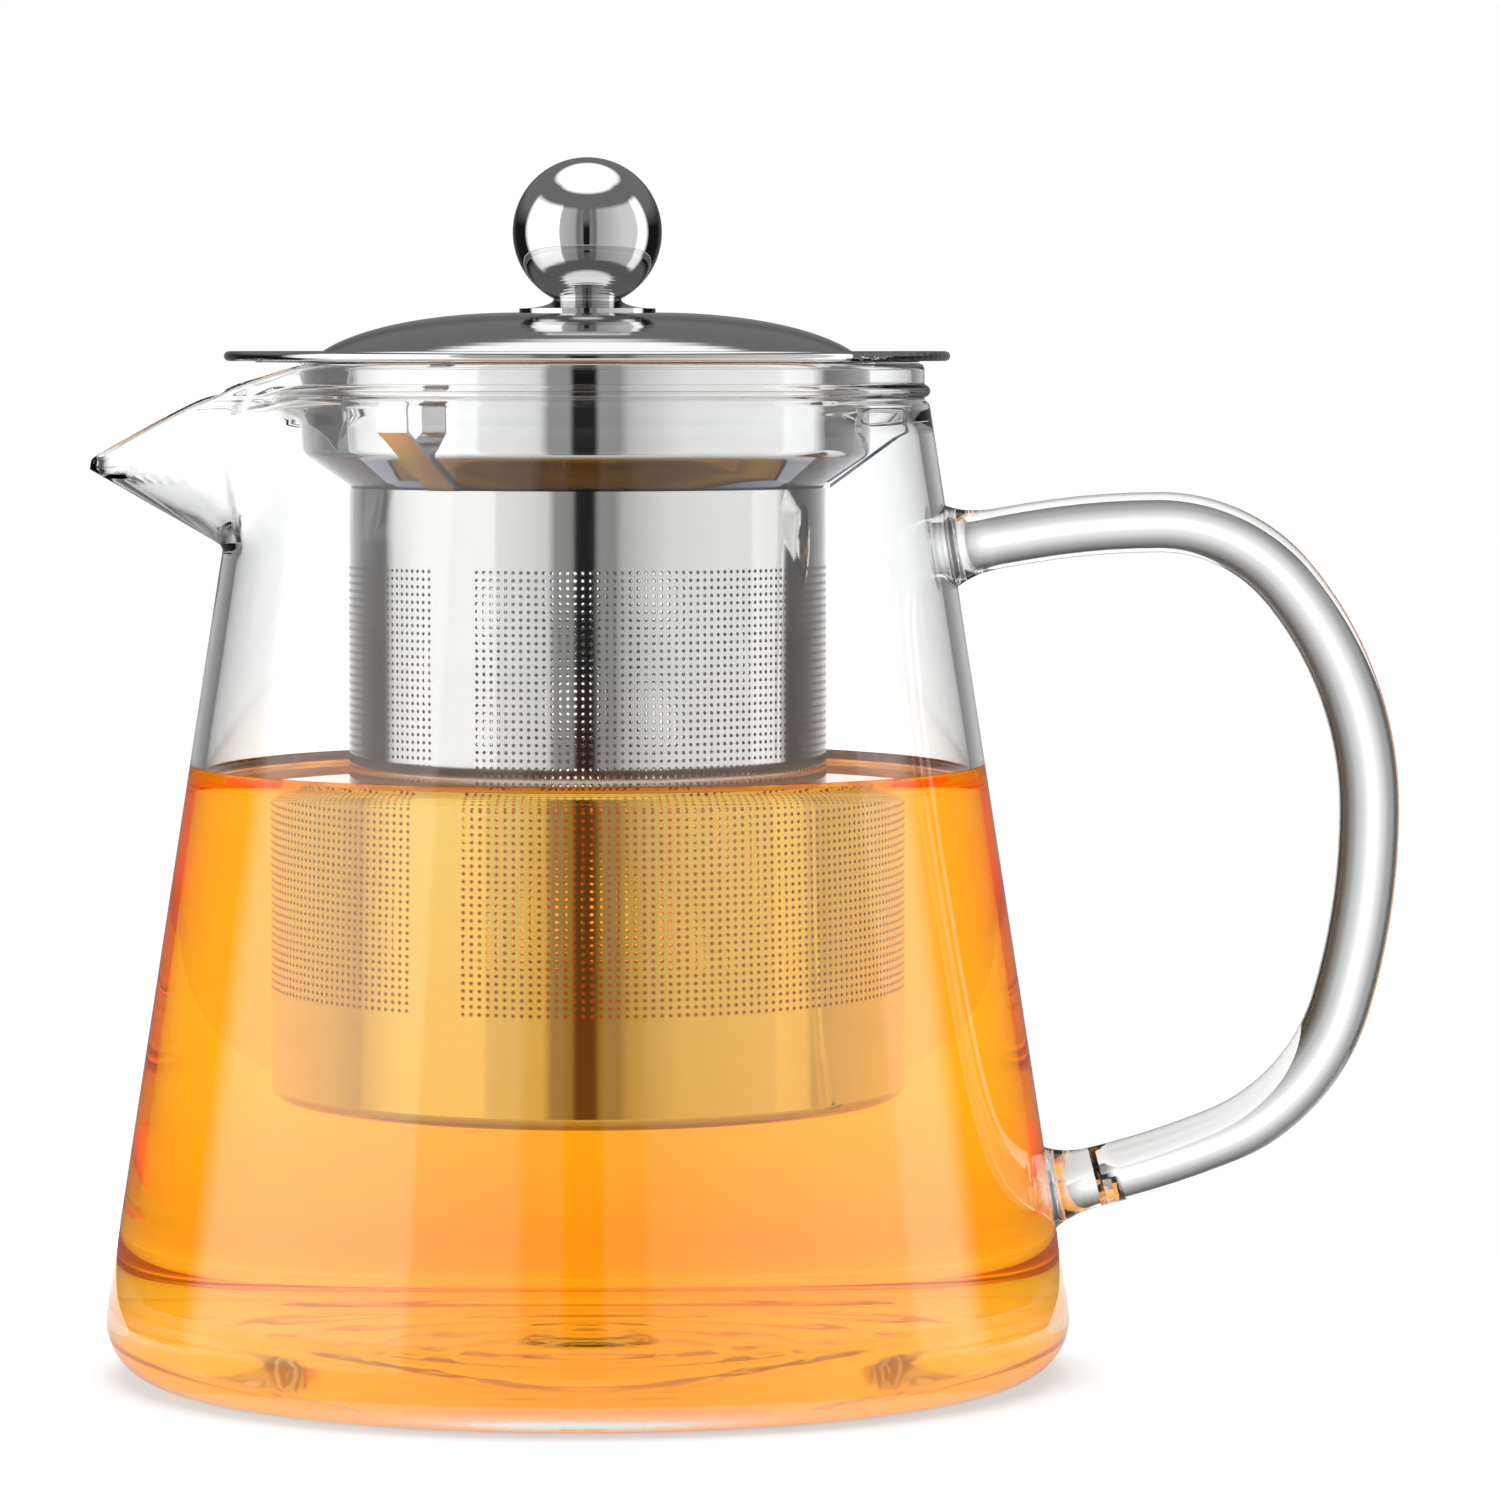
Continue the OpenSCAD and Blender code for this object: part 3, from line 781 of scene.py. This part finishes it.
polish("lid_shell", dome_steel)

# ---- Lid skirt -----------------------------------------------------------------------------
# A short cylinder of the same sheet, welded under the brim. It drops into the collar and keeps
# the lid from sliding off.
polish("lid_skirt", dome_steel)

# ---- Knob foot -----------------------------------------------------------------------------
# A small turned stem with a flared seat, solid stainless steel. It stands on the flat of the
# dome and carries the ball.
ball_steel = steel("ball_steel", (0.68, 0.68, 0.68), 0.03, 300, (1, 1, 1), 0.004)
polish("knob_foot", ball_steel)

# ---- Knob ball -----------------------------------------------------------------------------
# A ball of stainless steel, turned and polished to a mirror, drilled and tapped from below
# through the stem.
polish("knob_ball", ball_steel)

# ---- Knob screw ----------------------------------------------------------------------------
# A pan-head screw that goes up through the dome and the stem into the ball, and holds the knob
# on.
polish("knob_screw", ball_steel)

# ---- Knob washer ---------------------------------------------------------------------------
# A flat punched washer between the head of the screw and the underside of the dome, which
# spreads its pull over the thin sheet.
polish("knob_washer", ball_steel)

# ---- Table top -----------------------------------------------------------------------------
# A round of pale matt board that glows, a painted light, so that the teapot throws no shadow. Its glow
# falls off under the jug as a painted shadow, and more so in what the glass and the steel show of it.
table_r = 170
board = bpy.data.meshes.new("table_top")
work = bmesh.new()
bmesh.ops.create_circle(work, cap_ends=True, segments=128, radius=table_r * MM)
work.to_mesh(board)
work.free()
table = bpy.data.objects.new("table_top", board)
bpy.context.scene.collection.objects.link(table)
pale, tree, shader, place = new_material("pale_top")
shader.inputs["Base Color"].default_value = (0.9, 0.9, 0.9, 1)
shader.inputs["Roughness"].default_value = 0.6
shader.inputs["Specular IOR Level"].default_value = 0.1
shader.inputs["Emission Color"].default_value = (1, 1, 1, 1)
distance = tree.nodes.new("ShaderNodeVectorMath")
distance.operation = "LENGTH"
tree.links.new(place, distance.inputs[0])


def glow(*stops):
    """Light given off by the table at distances from its middle, in metres."""
    ramp = tree.nodes.new("ShaderNodeValToRGB")
    for at, value in stops[1:-1]:
        ramp.color_ramp.elements.new(at).color = (value, value, value, 1)
    for element, (at, value) in zip(ramp.color_ramp.elements, stops):
        element.position = at
        element.color = (value, value, value, 1)
    tree.links.new(distance.outputs["Value"], ramp.inputs["Fac"])
    return ramp.outputs["Color"]


seen = tree.nodes.new("ShaderNodeLightPath")
choose = tree.nodes.new("ShaderNodeMix")
choose.data_type = "FLOAT"
# Painted shadow: the glow is weakest under and around the jug, and weaker still where glass and steel show
# it.
in_glass = glow((0.052, 0.3), (0.066, 0.12), (0.10, 0.25), (0.15, 0.45))
seen_straight = glow((0.060, 0.45), (0.072, 0.75), (0.12, 0.97), (0.16, 1))
tree.links.new(seen.outputs["Is Camera Ray"], choose.inputs[0])
tree.links.new(in_glass, choose.inputs[2])
tree.links.new(seen_straight, choose.inputs[3])
tree.links.new(choose.outputs[0], shader.inputs["Emission Strength"])
table.data.materials.append(pale)

# ---- Studio --------------------------------------------------------------------------------
# A white room with a tall soft box down each side, a dark slot between them where the teapot is
# watched from, a panel overhead and a lit wall behind. Glass bends what lies behind it, so the
# wall that is met through glass or tea is as wide as those need to look clear.
world = bpy.data.worlds.new("studio")
bpy.context.scene.world = world
world.use_nodes = True
tree = world.node_tree
links = tree.links


def world_maths(operation, *values):
    """A maths node in the world; a plain number becomes a value on its socket."""
    node = tree.nodes.new("ShaderNodeMath")
    node.operation = operation
    for socket, value in zip(node.inputs, values):
        if isinstance(value, (int, float)):
            socket.default_value = value
        else:
            links.new(value, socket)
    return node.outputs[0]


def times(first, second):
    """Product of two lights or shares."""
    return world_maths("MULTIPLY", first, second)


def rest_of(share):
    """What a share leaves of one."""
    return world_maths("SUBTRACT", 1, share)


def either(share, light, other):
    """One light where a share is 1, another where it is 0."""
    return world_maths("ADD", times(light, share), times(other, rest_of(share)))


def deeper(kind, count):
    """1 for light that has met a kind of surface more than so many times."""
    return world_maths("GREATER_THAN", path.outputs[kind], count)


def levels(value, *stops):
    """Brightness at angles: stops are (degrees, level), joined by straight lines."""
    first, last = stops[0][0], stops[-1][0]
    ramp = tree.nodes.new("ShaderNodeValToRGB")
    for _ in stops[2:]:
        ramp.color_ramp.elements.new(0.5)
    for element, (at, level) in zip(ramp.color_ramp.elements, stops):
        element.position = (at - first) / (last - first)
        element.color = (level / 2, level / 2, level / 2, 1)
    span = world_maths("DIVIDE", world_maths("SUBTRACT", value, first), last - first)
    links.new(span, ramp.inputs["Fac"])
    return times(ramp.outputs["Color"], 2)


def brightest(*lights):
    """The brightest of some lights, as where one stands in front of another."""
    most = lights[0]
    for light in lights[1:]:
        most = world_maths("MAXIMUM", most, light)
    return most


away = tree.nodes.new("ShaderNodeSeparateXYZ")
links.new(tree.nodes.new("ShaderNodeTexCoord").outputs["Generated"], away.inputs[0])
x, y, z = away.outputs
azimuth = times(world_maths("ARCTAN2", x, times(y, -1)), 180 / math.pi)
height = times(world_maths("ARCSINE", z), 180 / math.pi)
from_back = times(world_maths("ARCCOSINE", y), 180 / math.pi)
path = tree.nodes.new("ShaderNodeLightPath")
through_glass = deeper("Transmission Depth", 0.5)
through_walls = deeper("Transmission Depth", 2.5)
through_tea = deeper("Transmission Depth", 4.5)
mirrored = deeper("Glossy Depth", 0.5)

# The soft boxes: softer and nearer the slot as glass bends them, crisp as steel mirrors them.
inside = levels(azimuth, (-112, 0), (-104, 1.1), (-85, 1.6), (-44, 1.6), (-42, 1.25), (-18, 1.1),
                (-14, 0.4), (-6, 0.42), (-4, 0), (4, 0), (6, 0.42), (14, 0.4), (18, 0.75),
                (40, 1.15), (85, 1.3), (87, 1.55), (103, 1.4), (112, 0))
outside = levels(azimuth, (-112, 0), (-104, 1.5), (-85, 1.98), (-44, 1.98), (-42, 0.65), (-18, 0.5),
                 (-14, 0.2), (-6, 0.3), (-4, 0), (4, 0), (6, 0.3), (14, 0.2), (18, 0.5),
                 (60, 0.85), (85, 0.9), (87, 1.9), (103, 1.8), (112, 0))
box_ends = levels(height, (-66, 0), (-58, 1), (33, 1), (40, 0))
soft_boxes = times(either(through_glass, inside, outside), box_ends)

# Plain glass takes little from the front of the boxes, which keeps its edges dark.
plain_glass = times(world_maths("SUBTRACT", through_glass, through_tea), rest_of(mirrored))
edge_dark = times(brightest(plain_glass, 0),
                  levels(world_maths("ABSOLUTE", azimuth), (24, 0.92), (42, 0.2)))
soft_boxes = times(soft_boxes, rest_of(edge_dark))

# The lit wall behind: narrow for solid glass, wider for blown walls and widest for the tea.
clear = levels(from_back, (7, 1.25), (17, 0.9), (30, 0.48), (46, 0.12), (62, 0))
liquid = levels(from_back, (30, 1.25), (60, 1.05), (80, 0.7), (112, 0))
solid = levels(from_back, (4, 1.25), (10, 0.85), (22, 0.4), (38, 0.08), (52, 0))
clear = either(through_walls, clear, solid)
bare_share = world_maths("ADD", times(through_glass, 0.8), 0.2)
lit_wall = brightest(times(clear, bare_share), times(liquid, through_tea))

# Overhead panel, the ceiling's own pallor, and a dim front on both sides of the slot.
overhead = world_maths("ADD", height, times(brightest(y, 0), 20))
overhead = levels(overhead, (58, 0), (63, 1.5))
ceiling = times(levels(height, (4, 0), (20, 0.2)), rest_of(times(through_glass, 0.7)))
front = times(levels(azimuth, (-6, 1), (-4, 0), (4, 0), (6, 1)), 0.2)
front = world_maths("MINIMUM", front, levels(y, (-0.6, 1), (-0.4, 0)))
room = brightest(soft_boxes, overhead, lit_wall, ceiling, front, 0.012)
background = tree.nodes["Background"]
background.inputs["Color"].default_value = (1, 1, 1, 1)
links.new(brightest(room, path.outputs["Is Camera Ray"]), background.inputs["Strength"])

# ---- Camera --------------------------------------------------------------------------------
# A long lens a little above the lid and nearly level, straight in front of the teapot. Glass in
# glass needs many bounces of light before it clears.
camera_data = bpy.data.cameras.new("camera")
camera_data.lens = 175
camera = bpy.data.objects.new("camera", camera_data)
bpy.context.scene.collection.objects.link(camera)
camera.location = (0.02025, -0.91, 0.128)
camera.rotation_euler = (math.radians(90 - 3.15), 0, 0)
bpy.context.scene.camera = camera

scene = bpy.context.scene
scene.view_settings.view_transform = "Standard"
scene.cycles.max_bounces = 32
scene.cycles.transmission_bounces = 24
scene.cycles.transparent_max_bounces = 24
scene.cycles.glossy_bounces = 8
